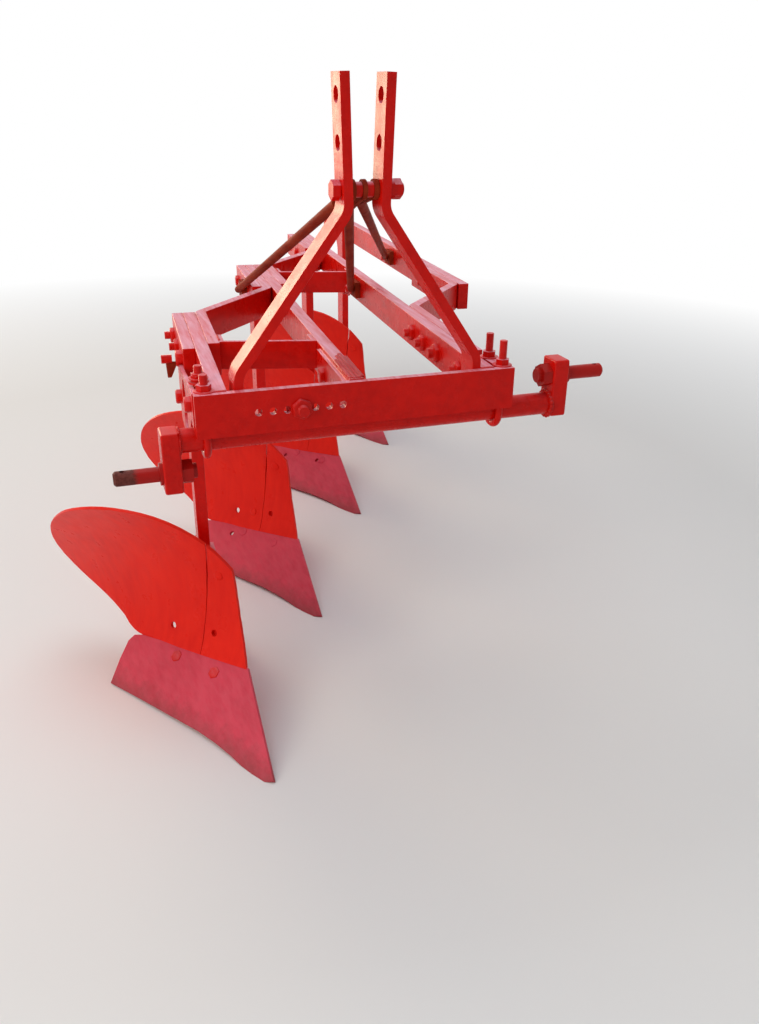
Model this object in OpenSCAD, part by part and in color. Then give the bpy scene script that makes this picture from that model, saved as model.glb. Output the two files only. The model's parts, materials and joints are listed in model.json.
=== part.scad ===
// Mounted moldboard plough with a row of like bodies under skewed flat-bar beams.
// X runs along the crossbar, +Y to the rear, +Z up. The origin is on the ground, under the middle of the whole plough.
// All sizes are in millimetres.

/* [Frame] */
// Height of the frame's top face above the ground
frame_top = 807; // [760:1:860]
// Height of the flat bars that stand on edge
bar_h = 70; // [60:1:76]
// Thickness of the beams
beam_t = 29; // [24:1:31]
// Thickness of the plate welded to the second beam's front end
doubler_t = 8; // [6:1:10]
// Length of that plate
doubler_len = 250; // [200:1:260]
// Thickness of the legs and the link bars
bar_t = 25; // [20:1:27]
// Angle by which the beams lead off from square to the crossbar
beam_skew = 3.6; // [2:0.1:5]
// Length of the beam that carries each leg's head
head_len = 330; // [280:1:360]
// Place along the first beam of the first leg's front face
first_leg = 297; // [285:1:310]
// Distance from one body to the next along the beams
body_pitch = 598; // [570:1:620]
// Front end of the last beam
last_beam_front = 815; // [780:1:850]
// Angle of the cranked link bars' middle from the beams
link_angle = 38.5; // [36:0.5:41]
// Radius of the link bars' bends
link_bend_r = 26; // [16:1:40]
// Length of a link bar along the first of its two beams
link_len = 300; // [240:1:320]
// Thickness of the bent spacers
spacer_t = 10; // [8:1:12]
// Height of the bent spacers
spacer_h = 60; // [50:1:70]
// Length of the spacers' bent-back ends
spacer_flange = 60; // [45:1:75]
// Angle of the spacers from square to the beams
spacer_angle = 10.7; // [8:0.1:12]
// Side gap between plates that are bolted or welded face to face
seat_gap = 0.3; // [0.2:0.05:0.5]

/* [Crossbar] */
// Left end of the crossbar
bar_left = -347; // [-356:1:-345]
// Right end of the crossbar
bar_right = 267; // [264:1:290]
// Height of the crossbar
crossbar_h = 80; // [74:1:84]
// Thickness of the crossbar
crossbar_t = 15; // [12:1:18]
// Radius of the holes in the crossbar's row
row_hole_r = 7; // [5:0.5:9]
// Distance between the holes of the row
row_step = 26; // [22:0.5:32]
// First hole of the row
row_start = -235; // [-245:1:-220]
// Number of holes in the row
row_count = 7; // [4:1:9]
// Thickness of the plate outside the first beam
side_plate_t = 8; // [6:1:9]
// Radius of the round opening in that plate
side_hole_r = 55; // [40:1:60]

/* [Cross shaft] */
// Radius of the cranked cross shaft
shaft_r = 22.5; // [20:0.5:24]
// Distance of the shaft's centre behind the crossbar's front face
shaft_y = 55; // [53:1:60]
// Drop of the shaft's centre below the frame's top
shaft_drop = 98; // [96:1:104]
// Distance between the two link pins' shoulders
pin_span = 825; // [800:1:850]
// Throw of each crank arm
crank_throw = 60; // [56:1:80]
// Thickness of a crank arm
arm_t = 34; // [28:1:38]
// Depth of a crank arm from front to rear
arm_depth = 50; // [49:1:60]
// Length of a crank arm past its pin's centre
arm_end = 34; // [30:1:40]
// Length of the collar at each pin's shoulder
collar_len = 5.5; // [4:0.5:8]
// Radius of a link pin
pin_r = 14; // [11:0.5:15]
// Radius of the linchpin hole across each link pin
linchpin_r = 5; // [3.5:0.5:5]
// Free length of a link pin
pin_len = 82; // [70:1:95]
// Rod radius of a shaft clamp
u_rod_r = 7; // [6:0.5:7.5]
// Running clearance round the shaft
shaft_gap = 0.1; // [0.05:0.01:0.2]

/* [Mast] */
// Height of the mast's top above the ground
mast_top = 1314; // [1280:1:1340]
// Middle of the mast along the crossbar
mast_x = -29; // [-36:1:-24]
// Depth of the mast's flat bars from front to rear
mast_depth = 52; // [44:1:60]
// Thickness of the mast's flat bars
mast_t = 17; // [14:1:19]
// Half distance between the bars' middles at the top
mast_half_top = 40; // [36:1:44]
// Half distance between the bars' middles at the through bolt
mast_half_bolt = 33; // [30:1:36]
// Side gap between the leaning bars and what the through bolt carries
mast_gap = 0.9; // [0.8:0.1:1]
// Radius of the mast's bends
mast_bend_r = 40; // [15:1:50]
// Middle between the mast's feet along the crossbar
mast_foot_x = -36.5; // [-40:0.5:-36.5]
// Half distance between the mast's feet
mast_half_foot = 229; // [222:1:229]
// Drop of the through bolt below the mast's top
mast_bolt_drop = 181; // [165:1:195]
// Drop of the mast's upper bend below the through bolt
mast_bend_drop = 33; // [28:1:48]
// Height of the bend above each foot over the frame's top
mast_foot_rise = 23; // [18:1:50]
// Drop of the upper top-link hole below the mast's top
link_hole_drop = 34; // [28:1:45]
// Distance between the two top-link holes
link_hole_step = 73; // [65:1:85]
// Radius of the top-link holes
link_hole_r = 13; // [10:0.5:14]
// Radius of the through bolt
mast_bolt_r = 10; // [8:0.5:11]
// Radius of the round rear braces
brace_r = 10; // [8:0.5:10]
// Thickness of the pad at each brace's foot
brace_pad_t = 14; // [12:0.5:18]
// Thickness of the braces' flattened ends
strap_t = 8; // [6:0.5:9]
// Length of the braces' flattened front ends behind the mast's bars
strap_tail = 72; // [68:1:90]
// Length over which a brace's rod laps its flattened front end
strap_lap = 8; // [6:1:10]
// Distance from the second leg's front face to the left brace's foot
brace_left_back = 145; // [60:1:240]
// Distance from the second leg's front face to the middle brace's foot
brace_middle_back = 90; // [40:1:150]
// Distance by which the right brace's foot lies ahead of the third leg
brace_right_ahead = 13; // [0:1:60]

/* [Body] */
// Depth of a leg from front to rear
leg_depth = 85; // [75:1:95]
// Height of a leg's lower end above the ground
leg_foot = 105; // [95:1:120]
// Sideways distance from a leg's middle to the landside's outer face
tip_side = 62; // [58:1:68]
// Gap between the moldboard's back and a leg's front edge
leg_gap = 8; // [2:0.5:10]
// Angle of the share's edge from the line of the beams
share_angle = 35.6; // [34:0.2:37]
// Slope of the share's face
share_slope = 40; // [38:0.5:42]
// Thickness of the share
share_t = 10; // [8:0.5:12]
// Thickness of the moldboard and the shin piece
mold_t = 7; // [5:0.5:8]
// Radius of the moldboard's curve from bottom to top
mold_r = 330; // [320:1:345]
// Angle that the moldboard's curve turns through from the ground to upright
mold_sweep = 65.4; // [63:0.2:68]
// Twist of the moldboard for each millimetre of height
mold_twist = 0.00116; // [0.001:0.00002:0.0013]
// Gap between the share, the shin piece and the moldboard
seam = 1.2; // [0.8:0.1:2]
// Gap between the moldboard's back and the frog
frog_gap = 0.7; // [0.6:0.05:0.9]
// Height of the landside bar
landside_h = 75; // [60:1:90]
// Thickness of the landside bar
landside_t = 12; // [8:1:16]
// Length of the landside behind the leg's front face
landside_tail = 150; // [100:1:200]
// Thickness of the frog's cheek beside the leg
cheek_t = 14; // [10:1:16]
// Thickness of the frog's plates behind the share and the moldboard
frog_t = 8; // [6:1:9]
// Radius of the bolt holes in the moldboard and share
body_hole_r = 8; // [5:0.5:9]

/* [Hidden] */
paint = [0.78, 0.1, 0.08];
share_paint = [0.62, 0.16, 0.2];
$fn = 48;

// Beams: place along the crossbar, number of bars between the beam and its leg's head
beams = [[-302, 0], [-48, 1], [216, 1], [461, 0]];
// Shaft clamps: place along the crossbar, width of the seat, height of the studs above the frame
clamps = [[-325.5, 18, 30], [252, 28, 48]];
// Spacers: number of the beam on their left, front of their left end along the beams
spacers = [[0, 339], [1, 1089]];
// Share's outline from its point along the cutting edge and round its wing end: distance along the share, up its face
share_low = [[-11, 11], [8, 0], [45, 0], [80, 3], [117, 9], [168, 14], [225, 16], [318, 13], [421, 9], [529, 4],
             [547, 64], [556, 110], [549, 129]];
// Ends of the share's top edge: distance along the share, distance up its face
share_top = [[527, 138], [199, 187]];
// Wing's lower edge beyond the share: distance along the share, height
wing_low = [[562, 94], [602, 110], [647, 133], [692, 156], [731, 180], [758, 210], [770, 242]];
// Moldboard's top edge from the shin piece out to the wing: distance along the share, height
mold_top = [[307, 391], [345, 428], [387, 455], [435, 467], [490, 467], [547, 454], [602, 433], [650, 405],
            [694, 373], [727, 340], [753, 305], [767, 272]];
// Open bolt holes: distance along the share, height
mold_hole = [436, 140];
shin_hole = [312, 160];
// Shin's front edge from bottom to top: part of its height, distance along the share, height
shin_edge = [[0, 199, 119], [0.15, 220, 150], [0.3, 237, 181], [0.5, 251, 216], [0.7, 260, 260], [1, 264, 331]];
// Line between the shin piece and the moldboard: part of its height, distance along the share, height
seam_line = [[0, 336, 118], [0.2, 342, 165], [0.4, 341, 218], [0.6, 335, 272], [0.8, 323, 330], [1, 306, 389]];
twist_from_z = 70;
twist_from_q = 200;

mold_upright = mold_r * sin(mold_sweep);
half_t = bar_t / 2;
bar_bottom = frame_top - bar_h;
shaft_z = frame_top - shaft_drop;
mast_bolt_z = mast_top - mast_bolt_drop;
mast_bend_z = mast_bolt_z - mast_bend_drop;
mast_foot_z = frame_top + mast_foot_rise;
link_hole_z = mast_top - link_hole_drop;
arm_face = pin_span / 2 - collar_len;
mast_y = crossbar_t + mast_depth / 2;
u_off = shaft_r + shaft_gap + u_rod_r + 0.4;

function beam_u(i) = beams[i][0] * cos(beam_skew);
function leg_u(i) = beam_u(i) - beam_t / 2 - bar_t * (beams[i][1] + 0.5);
function leg_v(i) = first_leg + body_pitch * i;
// Where a line along the beams starts so that its nearer corner clears the crossbar
function behind_bar(u) = (crossbar_t + seat_gap + u * sin(beam_skew)) / cos(beam_skew);
function to_x(u, v) = u * cos(beam_skew) + v * sin(beam_skew);
function to_y(u, v) = -u * sin(beam_skew) + v * cos(beam_skew);

// Distance from the share's point back to a leg's front face: the moldboard's back at the leg's outer edge, and a gap
leg_edge = [for (z = [180:10:330]) mold_v(-tip_side - half_t, z)];
tip_ahead = max(leg_edge) + (mold_t + leg_gap) / sin(share_angle) * 0.95;

// Middle of the plough on the ground: first share's point to the last leg's head, first wing to the last landside
mid_x = (to_x(leg_u(3) + tip_side, leg_v(3) + landside_tail)
    + min([for (p = mold_top) let (f = on_face(p[0], p[1])) to_x(leg_u(0) + tip_side + f[0], leg_v(0) - tip_ahead + f[1])])) / 2;
mid_y = (to_y(leg_u(3) - half_t, leg_v(3) + head_len) + to_y(leg_u(0) + tip_side, leg_v(0) - tip_ahead)) / 2;

// Outline of a strip of even thickness along a path with mitred bends
function unit(v) = v / norm(v);
function square_to(v) = [-v[1], v[0]];
function side_of(p, h) = [for (i = [0:len(p) - 1])
    let (a = unit(i == 0 ? p[1] - p[0] : p[i] - p[i - 1]),
         b = unit(i == len(p) - 1 ? p[i] - p[i - 1] : p[i + 1] - p[i]),
         m = unit(square_to(a) + square_to(b)))
    p[i] + m * h / (m * square_to(a))];
// Path with each bend rounded to a radius
function rounded(p, r, n = 6) = concat([p[0]], [for (i = [1:len(p) - 2])
    let (a = unit(p[i] - p[i - 1]), b = unit(p[i + 1] - p[i]), turn = acos(a * b), s = cross(a, b) > 0 ? 1 : -1,
         start = p[i] - a * r * tan(turn / 2), middle = start + s * r * square_to(a))
    each [for (k = [0:n]) middle - s * r * square_to(a) * cos(turn * k / n) + a * r * sin(turn * k / n)]], [p[len(p) - 1]]);
function backwards(p) = [for (i = [len(p) - 1:-1:0]) p[i]];
function strip(p, h) = concat(side_of(p, h), backwards(side_of(p, -h)));

// Sizes are laid out from the crossbar's front face and the middle between the link pins, then moved to the origin
module placed() {
    translate([-mid_x, -mid_y, 0]) children();
}

module along_beams() {
    rotate([0, 0, -beam_skew]) children();
}

// Flat outline in the upright plane along the beams, thickened to the right of u
module upright(u, t) {
    translate([u, 0, 0]) rotate([90, 0, 90]) linear_extrude(t) children();
}

// Round rod between two points
module rod(a, b, r) {
    d = b - a;
    translate(a) rotate([0, acos(d[2] / norm(d)), atan2(d[1], d[0])]) cylinder(r = r, h = norm(d));
}

// Hexagon nut or bolt head with its axis along X
module hex_x(x, y, z, across, t) {
    translate([x, y, z]) rotate([0, 90, 0]) cylinder(r = across / sqrt(3), h = t, $fn = 6);
}

module crossbar() color(paint) placed() difference() {
    translate([bar_left, 0, frame_top - crossbar_h]) cube([bar_right - bar_left, crossbar_t, crossbar_h]);
    for (i = [0:row_count - 1])
        translate([row_start + i * row_step, -1, frame_top - crossbar_h / 2])
            rotate([-90, 0, 0]) cylinder(r = row_hole_r, h = crossbar_t + 2);
}

// Plate outside the first beam, from the crossbar back over the first leg
module side_plate() color(paint) placed() along_beams() {
    front = behind_bar(leg_u(0) - half_t);
    rear = first_leg + leg_depth;
    hole_v = 225;
    difference() {
        upright(leg_u(0) - half_t - side_plate_t, side_plate_t)
            polygon([[front, frame_top], [front + 60, frame_top - 6], [first_leg - 2, frame_top - 42],
                     [rear, frame_top - 48], [rear, frame_top - 175], [hole_v - 60, frame_top - 172],
                     [front + 115, frame_top - 118], [front + 78, bar_bottom - 1], [front, bar_bottom - 1]]);
        translate([leg_u(0) - half_t - side_plate_t - 1, hole_v, frame_top - 98])
            rotate([0, 90, 0]) cylinder(r = side_hole_r, h = side_plate_t + 2);
    }
}

// Blocks that seat the cross shaft, each under a flat plate that the studs pass through
module clamp_seats() color(paint) placed() for (c = clamps) difference() {
    union() {
        translate([c[0] - c[1] / 2, crossbar_t, frame_top - 10]) cube([c[1], shaft_y + u_off + 12 - crossbar_t, 10]);
        translate([c[0] - c[1] / 2, shaft_y - u_off + u_rod_r + 0.6, shaft_z + 4])
            cube([c[1], 2 * (u_off - u_rod_r - 0.6), frame_top - 10 - shaft_z - 4]);
    }
    translate([c[0] - c[1], shaft_y, shaft_z]) rotate([0, 90, 0]) cylinder(r = shaft_r + shaft_gap, h = 2 * c[1]);
    for (s = [-1, 1]) translate([c[0], shaft_y + s * u_off, frame_top - 11]) cylinder(r = u_rod_r + 0.4, h = 12);
}

module u_bolts() color(paint) placed() for (c = clamps) {
    translate([c[0], shaft_y, shaft_z]) rotate([0, 90, 0]) rotate([0, 0, -90]) rotate_extrude(angle = 180)
        translate([u_off, 0]) circle(r = u_rod_r);
    for (s = [-1, 1]) translate([c[0], shaft_y + s * u_off, 0]) {
        translate([0, 0, shaft_z]) cylinder(r = u_rod_r, h = frame_top + c[2] - shaft_z);
        translate([0, 0, frame_top]) cylinder(r = 24 / sqrt(3), h = 13, $fn = 6);
    }
}

module cross_shaft() color(paint) placed()
    translate([arm_t - arm_face, shaft_y, shaft_z]) rotate([0, 90, 0])
        cylinder(r = shaft_r, h = 2 * (arm_face - arm_t));

// Flat arm from the shaft to its pin: side -1 is left and hangs down, side 1 is right and stands up
module crank_arm(side) color(paint) placed() difference() {
    z1 = side > 0 ? shaft_z - shaft_r : shaft_z - crank_throw - arm_end;
    z2 = side > 0 ? shaft_z + crank_throw + arm_end : shaft_z + shaft_r;
    translate([side > 0 ? arm_face - arm_t : -arm_face, shaft_y - arm_depth / 2, z1]) cube([arm_t, arm_depth, z2 - z1]);
    translate([side > 0 ? arm_face - arm_t - 1 : -arm_face - 1, shaft_y, shaft_z + side * crank_throw])
        rotate([0, 90, 0]) cylinder(r = pin_r + shaft_gap, h = arm_t + 2);
}
module crank_arm_left() crank_arm(-1);
module crank_arm_right() crank_arm(1);

// Pin with its shoulder collar, and its nut on the arm's inner face
module link_pin(side) color(paint) placed()
    translate([0, shaft_y, shaft_z + side * crank_throw]) mirror([side < 0 ? 1 : 0, 0, 0]) difference() {
        union() {
            translate([arm_face - arm_t - 28, 0, 0]) rotate([0, 90, 0])
                cylinder(r = pin_r, h = 28 + arm_t + collar_len + pin_len - 4);
            translate([arm_face + collar_len + pin_len - 4, 0, 0]) rotate([0, 90, 0])
                cylinder(r1 = pin_r, r2 = pin_r - 4, h = 4);
            translate([arm_face, 0, 0]) rotate([0, 90, 0]) cylinder(r = pin_r + 7, h = collar_len);
            hex_x(arm_face - arm_t - 20, 0, 0, 41, 20);
        }
        translate([arm_face + collar_len + pin_len - 16, 0, -pin_r - 1]) cylinder(r = linchpin_r, h = 2 * pin_r + 2);
    }
module link_pin_left() link_pin(-1);
module link_pin_right() link_pin(1);

// Half of the mast: a flat bar bent outward from the through bolt down to its foot
module mast_bar(side) color(paint) placed() difference() {
    foot_x = side * mast_half_foot + mast_foot_x - mast_x;
    translate([mast_x, crossbar_t + mast_depth, 0]) rotate([90, 0, 0]) linear_extrude(mast_depth)
        polygon(strip(rounded([[side * mast_half_top, mast_top], [side * mast_half_bolt, mast_bend_z],
                               [foot_x, mast_foot_z], [foot_x, bar_bottom + 1]],
                              mast_bend_r), mast_t / 2));
    for (z = [link_hole_z, link_hole_z - link_hole_step])
        translate([mast_x - mast_half_foot, mast_y, z]) rotate([0, 90, 0])
            cylinder(r = link_hole_r, h = 2 * mast_half_foot);
    translate([mast_x - mast_half_foot, mast_y, mast_bolt_z]) rotate([0, 90, 0])
        cylinder(r = mast_bolt_r + 0.2, h = 2 * mast_half_foot);
}
module mast_left() mast_bar(-1);
module mast_right() mast_bar(1);

// Half distance between the bars' middles at the through bolt's height
bolt_half = mast_half_bolt + (mast_half_top - mast_half_bolt) * (mast_bolt_z - mast_bend_z) / (mast_top - mast_bend_z);
bar_in = bolt_half - mast_t / 2 - mast_gap;
bar_out = bolt_half + mast_t / 2 + mast_gap;
// Through bolt: width across flats and height of its head and nut, length of the ring under the nut
bolt_flats = 30;
bolt_head_t = 14;
bolt_ring_t = 10;
// Straps on the through bolt: left face of each, counted from the mast's middle
strap_left = -bar_in;
strap_middle = -strap_t / 2;
strap_right = bar_in - strap_t;

module mast_bolt() color(paint) placed() translate([mast_x, mast_y, mast_bolt_z]) {
    translate([-bar_out - bolt_head_t, 0, 0]) rotate([0, 90, 0])
        cylinder(r = mast_bolt_r, h = 2 * bar_out + bolt_ring_t + 2 * bolt_head_t + 4);
    hex_x(-bar_out - bolt_head_t, 0, 0, bolt_flats, bolt_head_t);
    translate([strap_left + strap_t + seat_gap, 0, 0]) rotate([0, 90, 0])
        cylinder(r = mast_bolt_r + 3, h = strap_middle - strap_left - strap_t - 2 * seat_gap);
    translate([strap_middle + strap_t + seat_gap, 0, 0]) rotate([0, 90, 0])
        cylinder(r = mast_bolt_r + 3, h = strap_right - strap_middle - strap_t - 2 * seat_gap);
    translate([bar_out, 0, 0]) rotate([0, 90, 0]) cylinder(r = mast_bolt_r + 7, h = bolt_ring_t);
    hex_x(bar_out + bolt_ring_t, 0, 0, bolt_flats, bolt_head_t);
}

// Round brace from the through bolt back to the left face of a bar at (face_u, v)
module brace(strap_x, face_u, v) color(paint) placed() {
    low_z = bar_bottom + bar_h / 2;
    foot_u = face_u - brace_r - brace_pad_t + 4;
    far = [to_x(foot_u, v), to_y(foot_u, v), low_z];
    slope = atan2(low_z - mast_bolt_z, far[1] - mast_y);
    strap_len = mast_depth / 2 + strap_tail;
    difference() {
        union() {
            translate([mast_x + strap_x, mast_y, mast_bolt_z]) rotate([90, 0, 90]) linear_extrude(strap_t) {
                circle(r = mast_bolt_r + 7);
                rotate(slope) translate([0, -mast_bolt_r - 4]) square([strap_len, 2 * mast_bolt_r + 8]);
            }
            rod([mast_x + strap_x + strap_t / 2, mast_y + (strap_len - strap_lap) * cos(slope),
                 mast_bolt_z + (strap_len - strap_lap) * sin(slope)], far, brace_r);
            along_beams() translate([face_u - brace_pad_t, v - 32, low_z - 22]) cube([brace_pad_t, 64, 44]);
        }
        translate([mast_x + strap_x - 1, mast_y, mast_bolt_z]) rotate([0, 90, 0])
            cylinder(r = mast_bolt_r + 0.2, h = strap_t + 2);
    }
}
module brace_left() brace(strap_left, leg_u(1) - half_t, leg_v(1) + brace_left_back);
module brace_middle() brace(strap_middle, beam_u(2) - beam_t / 2, leg_v(1) + brace_middle_back);
module brace_right() brace(strap_right, beam_u(3) - beam_t / 2, leg_v(2) - brace_right_ahead);

module beam(i) color(paint) placed() along_beams() {
    front = i < 3 ? behind_bar(beam_u(i) + beam_t / 2) : last_beam_front;
    translate([beam_u(i) - beam_t / 2, front, bar_bottom]) cube([beam_t, leg_v(i) + head_len - front, bar_h]);
    if (i == 1) translate([beam_u(i) - beam_t / 2 - doubler_t, front + 3, bar_bottom + 12])
        cube([doubler_t + 1, doubler_len, bar_h - 20]);
}
module beam_1() beam(0);
module beam_2() beam(1);
module beam_3() beam(2);
module beam_4() beam(3);

// Bar cranked from the right side of one beam to the left side of the next
module link_bar(i, second_bend, front_len, rear) color(paint) placed() along_beams() {
    u1 = beam_u(i) + beam_t / 2 + half_t;
    u2 = beam_u(i + 1) - beam_t / 2 - half_t;
    first_bend = second_bend - (u2 - u1) / tan(link_angle);
    translate([0, 0, bar_bottom]) linear_extrude(bar_h)
        polygon(strip(rounded([[u1, first_bend - front_len], [u1, first_bend], [u2, second_bend], [u2, rear]], link_bend_r),
                      half_t));
}
// The second bend lies just ahead of the next leg, and the last link bar ends ahead of its beam's leg
bend_gap = (half_t + link_bend_r) * tan(link_angle / 2) + 1;
module link_bar_1() link_bar(0, leg_v(1) - bend_gap, link_len, leg_v(1) + head_len);
module link_bar_2() link_bar(1, leg_v(2) - bend_gap, link_len, leg_v(2) + head_len);
module link_bar_3() link_bar(2, last_beam_front + 10, 430, last_beam_front + 350);

module spacer(s) color(paint) placed() along_beams() {
    u1 = beam_u(s[0]) + beam_t / 2 + bar_t;
    u2 = beam_u(s[0] + 1) - beam_t / 2;
    v1 = s[1];
    v2 = v1 - (u2 - u1) * tan(spacer_angle);
    t = spacer_t / cos(spacer_angle);
    translate([0, 0, frame_top - spacer_h]) linear_extrude(spacer_h)
        polygon([[u1, v1], [u2, v2], [u2, v2 + spacer_flange], [u2 - spacer_t, v2 + spacer_flange],
                 [u2 - spacer_t, v2 + t + spacer_t * tan(spacer_angle)], [u1 + spacer_t, v1 + t - spacer_t * tan(spacer_angle)],
                 [u1 + spacer_t, v1 + spacer_flange], [u1, v1 + spacer_flange]]);
}
module spacer_1() spacer(spacers[0]);
module spacer_2() spacer(spacers[1]);

// Upright leg with its head lying back along the beam
module leg(i) color(paint) placed() along_beams() {
    fillet = 60;
    v = leg_v(i);
    upright(leg_u(i) - half_t, bar_t) difference() {
        union() {
            translate([v, leg_foot]) square([leg_depth, frame_top - leg_foot]);
            translate([v, bar_bottom - fillet]) square([leg_depth + fillet, fillet + bar_h]);
            translate([v, bar_bottom]) square([head_len, bar_h]);
        }
        translate([v + leg_depth + fillet, bar_bottom - fillet]) circle(r = fillet);
    }
}
module leg_1() leg(0);
module leg_2() leg(1);
module leg_3() leg(2);
module leg_4() leg(3);

// Places of body i's pieces: u and v from the share's point, with the landside's outer face at u = 0
module at_body(i) {
    along_beams() translate([leg_u(i) + tip_side, leg_v(i) - tip_ahead, 0]) children();
}

// The share's flat face: -x is along the share from its point, y is up the face, z is out of the face
module on_share() {
    rotate([0, 0, share_angle - 90]) rotate([share_slope, 0, 0]) children();
}

// Curved face of the moldboard at distance q along the share and height z
function rise(z) = sqrt(mold_r * mold_r - pow(z - mold_upright, 2)) - sqrt(mold_r * mold_r - mold_upright * mold_upright);
function face_p(q, z) = rise(z) - mold_twist * max(0, z - twist_from_z) * (q - twist_from_q);
function on_face(q, z) = [-q * sin(share_angle) + face_p(q, z) * cos(share_angle),
                          q * cos(share_angle) + face_p(q, z) * sin(share_angle), z];
function face_normal(q, z) = unit(cross(on_face(q + 1, z) - on_face(q - 1, z), on_face(q, z + 1) - on_face(q, z - 1)));
// Point at depth d behind the face
function behind_face(q, z, d) = on_face(q, z) + d * face_normal(q, z);

// Bolt hole square through the face
module face_hole(q, z) {
    n = face_normal(q, z);
    translate(on_face(q, z)) rotate([0, acos(n[2]), atan2(n[1], n[0])]) translate([0, 0, -12])
        cylinder(r = body_hole_r, h = 24);
}

// Shell between two depths over a grid of rows of [q, z]
module shell(rows, d1, d2) {
    m = len(rows);
    n = len(rows[0]);
    front = [for (r = rows) for (c = r) behind_face(c[0], c[1], d1)];
    back = [for (r = rows) for (c = r) behind_face(c[0], c[1], d2)];
    size = m * n;
    function at(r, c) = r * n + c;
    quads = concat(
        [for (r = [0:m - 2]) for (c = [0:n - 2]) [at(r, c), at(r, c + 1), at(r + 1, c + 1), at(r + 1, c)]],
        [for (r = [0:m - 2]) for (c = [0:n - 2]) [for (k = [at(r + 1, c), at(r + 1, c + 1), at(r, c + 1), at(r, c)]) size + k]],
        [for (c = [0:n - 2]) [at(0, c), size + at(0, c), size + at(0, c + 1), at(0, c + 1)]],
        [for (c = [0:n - 2]) [at(m - 1, c + 1), size + at(m - 1, c + 1), size + at(m - 1, c), at(m - 1, c)]],
        [for (r = [0:m - 2]) [at(r + 1, 0), size + at(r + 1, 0), size + at(r, 0), at(r, 0)]],
        [for (r = [0:m - 2]) [at(r, n - 1), size + at(r, n - 1), size + at(r + 1, n - 1), at(r + 1, n - 1)]]);
    tris = [for (f = quads) each [[f[0], f[1], f[2]], [f[0], f[2], f[3]]]];
    polyhedron(points = concat(front, back), faces = tris);
}

function column(t, k) = [for (r = t) [r[0], r[k]]];
function share_top_z(q) = (share_top[0][1] + (share_top[1][1] - share_top[0][1]) * (q - share_top[0][0])
    / (share_top[1][0] - share_top[0][0])) * sin(share_slope);
// Lower edge: along the share's top edge, then along the wing
function low_z(q) = share_top_z(q) + seam + mold_t / 8;
low_edge = concat([for (k = [0:4]) let (q = seam_line[0][1] + (share_top[0][0] - seam_line[0][1]) * k / 4) [q, low_z(q)]],
                  wing_low);
// Smooth curve through the points of a list, at place t in steps of its points
function smooth(p, t) = let (i = min(floor(t), len(p) - 2), f = t - i, b = p[i], c = p[i + 1],
    a = i > 0 ? p[i - 1] : 2 * b - c, d = i < len(p) - 2 ? p[i + 2] : 2 * c - b)
    ((2 * b) + (c - a) * f + (2 * a - 5 * b + 4 * c - d) * f * f + (3 * b - a - 3 * c + d) * f * f * f) / 2;
function low_point(t) = let (p = smooth(low_edge, t)) [p[0], p[0] < share_top[0][0] ? max(p[1], low_z(p[0])) : p[1]];
function seam_q(t) = lookup(t, column(seam_line, 1));
function shin_z(t) = max(lookup(t, column(shin_edge, 2)), low_z(lookup(t, column(shin_edge, 1))));
function seam_z(t) = t < 0.05 ? low_z(seam_line[0][1]) : lookup(t, column(seam_line, 2));

module moldboard(i) color(paint) placed() at_body(i) {
    cols = 2 * (len(low_edge) - 1);
    rows = 15;
    difference() {
        shell([for (r = [0:rows]) let (t = r / rows, seam_off = seam_q(t) + seam - (1 - t) * seam_q(0) - t * seam_q(1))
            [for (c = [0:cols]) let (low = low_point(c / 2), high = smooth(mold_top, c / 2))
                low + (high - low) * t + [seam_off * pow(1 - c / cols, 2), 0]]], 0, mold_t);
        face_hole(mold_hole[0], mold_hole[1]);
    }
}
module moldboard_1() moldboard(0);
module moldboard_2() moldboard(1);
module moldboard_3() moldboard(2);
module moldboard_4() moldboard(3);

module shin(i) color(paint) placed() at_body(i) difference() {
    cols = 4;
    rows = 14;
    shell([for (r = [0:rows]) let (t = r / rows, a = [lookup(t, column(shin_edge, 1)), shin_z(t)],
        b = [lookup(t, column(seam_line, 1)), seam_z(t)])
        [for (c = [0:cols]) let (k = c / cols) a + (b - a) * k]], 0, mold_t);
    face_hole(shin_hole[0], shin_hole[1]);
}
module shin_1() shin(0);
module shin_2() shin(1);
module shin_3() shin(2);
module shin_4() shin(3);

module share(i) color(share_paint) placed() at_body(i) intersection() {
    on_share() translate([0, 0, -share_t]) linear_extrude(share_t)
        polygon([for (p = concat(share_low, share_top)) [-p[0], p[1]]]);
    translate([-800, -200, 0]) cube([1000, 1000, 400]);
}
module share_1() share(0);
module share_2() share(1);
module share_3() share(2);
module share_4() share(3);

// Places on the back of the body at sideways place u: the share's back and the moldboard's face
function share_back_v(u, z, d) = (z / tan(share_slope) + d / sin(share_slope) - u * cos(share_angle)) / sin(share_angle);
function mold_v(u, z) = let (c = mold_twist * (z - twist_from_z))
    (rise(z) + c * twist_from_q + u * (c * sin(share_angle) - cos(share_angle))) / (sin(share_angle) + c * cos(share_angle));

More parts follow.
